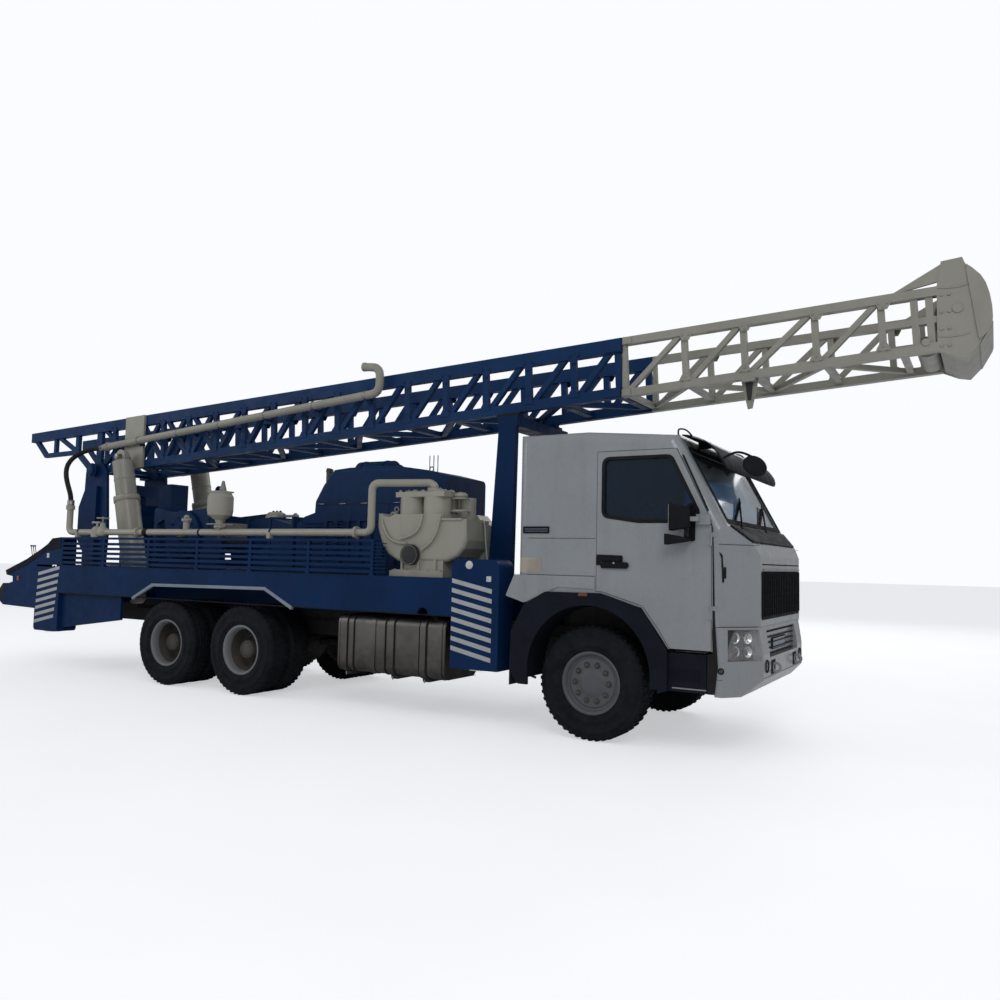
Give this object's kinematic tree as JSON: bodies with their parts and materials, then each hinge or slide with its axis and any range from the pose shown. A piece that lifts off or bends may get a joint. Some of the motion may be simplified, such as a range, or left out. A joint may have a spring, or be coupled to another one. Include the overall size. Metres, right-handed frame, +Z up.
{
  "type": "truck-mounted rotary drilling rig",
  "caption": "Truck-mounted rotary drilling rig: hinged lattice mast laid over the cab, raising cylinders, mud pump, deck engine and levelling jacks.",
  "frame": {"origin": "on the ground under the middle of the overall length and width, mast stowed", "axes": "+X forward, towards the cab; +Y to the left of the truck; +Z up"},
  "size_m": [13.78, 2.8, 4.395],
  "materials": {
    "tyre": "matt black rubber",
    "rim_grey": "grey wheel paint, satin",
    "chassis_dark": "dark grey chassis paint",
    "axle_iron": "dark painted castings",
    "rig_blue": "deep blue machinery paint",
    "rig_cream": "cream-white machinery paint",
    "cab_white": "off-white cab paint",
    "cab_glass": "tinted glass",
    "lamp_glass": "clear lamp lens",
    "black_plastic": "black moulded plastic",
    "dark_plastic": "dark grey moulded plastic",
    "seat_cloth": "dark woven cloth",
    "tank_alloy": "bare tank aluminium",
    "jack_steel": "bare steel",
    "hose_rubber": "black rubber hose"
  },
  "bodies": {
    "root": {"cab_front": "cab_white", "cab_roof": "cab_white", "cab_shell": "cab_white", "chassis_frame": "chassis_dark", "dashboard": "dark_plastic", "deck_engine": "rig_blue", "deck_frame": "rig_blue", "deck_machinery": "rig_blue", "deck_sides": "rig_blue", "engine_block": "axle_iron", "fenders": "dark_plastic", "front_axle": "axle_iron", "fuel_tank": "tank_alloy", "grille": "black_plastic", "jack_housings": "rig_blue", "lamps": "lamp_glass", "louvres": "rig_blue", "mast_supports": "rig_blue", "mud_hose": "hose_rubber", "mud_pump": "rig_cream", "pipework": "rig_cream", "rear_axles": "axle_iron", "seats": "seat_cloth", "sun_visor": "black_plastic", "windscreen": "cab_glass"},
    "knuckle_left": {"knuckle_left": "axle_iron"},
    "front_wheel_left": {"front_tyre_left": "tyre", "front_rim_left": "rim_grey"},
    "mid_wheels_left": {"mid_tyres_left": "tyre", "mid_rims_left": "rim_grey"},
    "rear_wheels_left": {"rear_tyres_left": "tyre", "rear_rims_left": "rim_grey"},
    "door_left": {"door_left": "cab_white", "door_glass_left": "cab_glass", "door_mirrors_left": "black_plastic"},
    "jack_front_left": {"jack_leg_front_left": "jack_steel"},
    "jack_rear_left": {"jack_leg_rear_left": "jack_steel"},
    "raise_barrel_left": {"raise_barrel_left": "rig_cream"},
    "raise_rod_left": {"raise_rod_left": "rig_cream"},
    "knuckle_right": {"knuckle_right": "axle_iron"},
    "front_wheel_right": {"front_tyre_right": "tyre", "front_rim_right": "rim_grey"},
    "mid_wheels_right": {"mid_tyres_right": "tyre", "mid_rims_right": "rim_grey"},
    "rear_wheels_right": {"rear_tyres_right": "tyre", "rear_rims_right": "rim_grey"},
    "door_right": {"door_right": "cab_white", "door_glass_right": "cab_glass", "door_mirrors_right": "black_plastic"},
    "jack_front_right": {"jack_leg_front_right": "jack_steel"},
    "jack_rear_right": {"jack_leg_rear_right": "jack_steel"},
    "raise_barrel_right": {"raise_barrel_right": "rig_cream"},
    "raise_rod_right": {"raise_rod_right": "rig_cream"},
    "mast": {"mast_fittings": "rig_cream", "mast_lower_back": "rig_blue", "mast_lower_sides": "rig_blue", "mast_upper_back": "rig_cream", "mast_upper_sides": "rig_cream", "crown": "rig_cream"},
    "crown_sheaves": {"crown_sheaves": "jack_steel"}
  },
  "joints": [
    {"name": "steer_left", "type": "hinge", "parent": "root", "child": "knuckle_left", "pos_m": [3.52, 0.86, 0.545], "axis": [0, 0, 1], "range_deg": [-38, 38]},
    {"name": "steer_right", "type": "hinge", "parent": "root", "child": "knuckle_right", "pos_m": [3.52, -0.86, 0.545], "axis": [0, 0, 1], "range_deg": [-38, 38]},
    {"name": "front_spin_left", "type": "hinge", "parent": "knuckle_left", "child": "front_wheel_left", "pos_m": [3.52, 1.011, 0.545], "axis": [0, 1, 0], "continuous": true},
    {"name": "mid_spin_left", "type": "hinge", "parent": "root", "child": "mid_wheels_left", "pos_m": [-1.08, 0.915, 0.545], "axis": [0, 1, 0], "continuous": true},
    {"name": "rear_spin_left", "type": "hinge", "parent": "root", "child": "rear_wheels_left", "pos_m": [-2.43, 0.915, 0.545], "axis": [0, 1, 0], "continuous": true},
    {"name": "door_hinge_left", "type": "hinge", "parent": "root", "child": "door_left", "pos_m": [4.7025, 1.2343, 1.6], "axis": [0, 0, -1], "range_deg": [0, 75]},
    {"name": "jack_front_left_slide", "type": "slide", "parent": "root", "child": "jack_front_left", "axis": [0, 0, -1], "range_m": [0, 0.563]},
    {"name": "jack_rear_left_slide", "type": "slide", "parent": "root", "child": "jack_rear_left", "axis": [0, 0, -1], "range_m": [0, 0.533]},
    {"name": "front_spin_right", "type": "hinge", "parent": "knuckle_right", "child": "front_wheel_right", "pos_m": [3.52, -1.011, 0.545], "axis": [0, 1, 0], "continuous": true},
    {"name": "mid_spin_right", "type": "hinge", "parent": "root", "child": "mid_wheels_right", "pos_m": [-1.08, -0.915, 0.545], "axis": [0, 1, 0], "continuous": true},
    {"name": "rear_spin_right", "type": "hinge", "parent": "root", "child": "rear_wheels_right", "pos_m": [-2.43, -0.915, 0.545], "axis": [0, 1, 0], "continuous": true},
    {"name": "door_hinge_right", "type": "hinge", "parent": "root", "child": "door_right", "pos_m": [4.7025, -1.2343, 1.6], "axis": [0, 0, 1], "range_deg": [0, 75]},
    {"name": "jack_front_right_slide", "type": "slide", "parent": "root", "child": "jack_front_right", "axis": [0, 0, -1], "range_m": [0, 0.563]},
    {"name": "jack_rear_right_slide", "type": "slide", "parent": "root", "child": "jack_rear_right", "axis": [0, 0, -1], "range_m": [0, 0.533]},
    {"name": "mast_raise", "type": "hinge", "parent": "root", "child": "mast", "pos_m": [-5.08, 0, 2.95], "axis": [0, -1, 0], "range_deg": [0, 87], "deforming": ["mud_hose"]},
    {"name": "barrel_tilt_left", "type": "hinge", "parent": "root", "child": "raise_barrel_left", "pos_m": [-3.73, 0.7, 1.08], "axis": [0, -1, 0], "range_deg": [0, 14.02]},
    {"name": "rod_slide_left", "type": "slide", "parent": "raise_barrel_left", "child": "raise_rod_left", "axis": [-0.2448, 0, 0.9696], "range_m": [0, 0.9988]},
    {"name": "barrel_tilt_right", "type": "hinge", "parent": "root", "child": "raise_barrel_right", "pos_m": [-3.73, -0.7, 1.08], "axis": [0, -1, 0], "range_deg": [0, 14.02]},
    {"name": "rod_slide_right", "type": "slide", "parent": "raise_barrel_right", "child": "raise_rod_right", "axis": [-0.2448, 0, 0.9696], "range_m": [0, 0.9988]},
    {"name": "sheave_spin", "type": "hinge", "parent": "mast", "child": "crown_sheaves", "pos_m": [6.63, 0, 3.95], "axis": [0, 1, 0], "continuous": true}
  ],
  "couplings": [
    {"joint": "steer_right", "follows": "steer_left", "ratio": 1},
    {"joint": "barrel_tilt_left", "follows": "mast_raise", "ratio": 0.16111},
    {"joint": "rod_slide_left", "follows": "mast_raise", "m_per_rad": 0.65778},
    {"joint": "barrel_tilt_right", "follows": "mast_raise", "ratio": 0.16111},
    {"joint": "rod_slide_right", "follows": "mast_raise", "m_per_rad": 0.65778}
  ]
}
